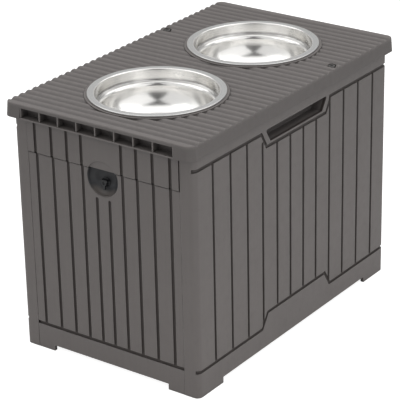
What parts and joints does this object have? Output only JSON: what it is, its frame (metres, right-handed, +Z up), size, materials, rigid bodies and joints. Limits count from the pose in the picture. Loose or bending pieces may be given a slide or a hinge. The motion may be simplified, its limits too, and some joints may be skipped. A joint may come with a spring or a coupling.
{
  "type": "elevated dog feeder with storage",
  "caption": "Raised pet feeder: ribbed lid with two lift-out steel bowls, hinged over a plank-grooved storage box with a turn latch and side hand-holds.",
  "frame": {"origin": "centre of the footprint on the floor", "axes": "+Z up; +X along the long axis, latch end at -X and hinge end at +X; -Y is the long side seen in the picture"},
  "size_m": [0.587, 0.361, 0.431],
  "materials": {
    "panel_plastic": "taupe grey moulded plastic, fine satin texture",
    "lid_plastic": "taupe grey moulded plastic, satin, ribbed",
    "inner_plastic": "dark taupe moulded plastic",
    "dark_plastic": "dark grey moulded plastic, satin",
    "bowl_steel": "polished stainless steel, satin flat rim",
    "hinge_steel": "zinc plated steel",
    "screw_steel": "zinc plated steel"
  },
  "bodies": {
    "base": {"side_panel_near": "panel_plastic", "side_panel_far": "panel_plastic", "front_panel": "panel_plastic", "rear_panel": "panel_plastic", "floor_panel": "panel_plastic", "cleat_front_near": "inner_plastic", "cleat_front_far": "inner_plastic", "cleat_rear_near": "inner_plastic", "cleat_rear_far": "inner_plastic", "panel_screws": "screw_steel", "hinge_body_leaf_near": "hinge_steel", "hinge_body_leaf_far": "hinge_steel", "hinge_pin_near": "hinge_steel", "hinge_pin_far": "hinge_steel", "hinge_body_screws": "screw_steel", "latch_escutcheon": "dark_plastic"},
    "lid": {"lid_deck": "lid_plastic", "lid_underframe": "lid_plastic", "lid_header": "panel_plastic", "header_screws": "screw_steel", "keeper_screws": "screw_steel", "underframe_screws": "screw_steel", "deck_screws": "screw_steel", "latch_keeper": "dark_plastic", "hinge_lid_leaf_near": "hinge_steel", "hinge_lid_leaf_far": "hinge_steel", "hinge_lid_screws": "screw_steel"},
    "latch": {"latch_knob": "dark_plastic", "latch_cam": "hinge_steel", "latch_cam_screw": "screw_steel"},
    "bowl_front": {"bowl_front": "bowl_steel"},
    "bowl_rear": {"bowl_rear": "bowl_steel"}
  },
  "joints": [
    {"name": "lid_hinge", "type": "hinge", "parent": "base", "child": "lid", "pos_m": [0.284, 0, 0.397], "axis": [0, 1, 0], "range_deg": [0, 95]},
    {"name": "latch_turn", "type": "hinge", "parent": "base", "child": "latch", "pos_m": [-0.266, 0, 0.324], "axis": [-1, 0, 0], "range_deg": [0, 90]},
    {"name": "bowl_front_lift", "type": "slide", "parent": "lid", "child": "bowl_front", "axis": [0, 0, 1], "range_m": [0, 0.12]},
    {"name": "bowl_rear_lift", "type": "slide", "parent": "lid", "child": "bowl_rear", "axis": [0, 0, 1], "range_m": [0, 0.12]}
  ]
}
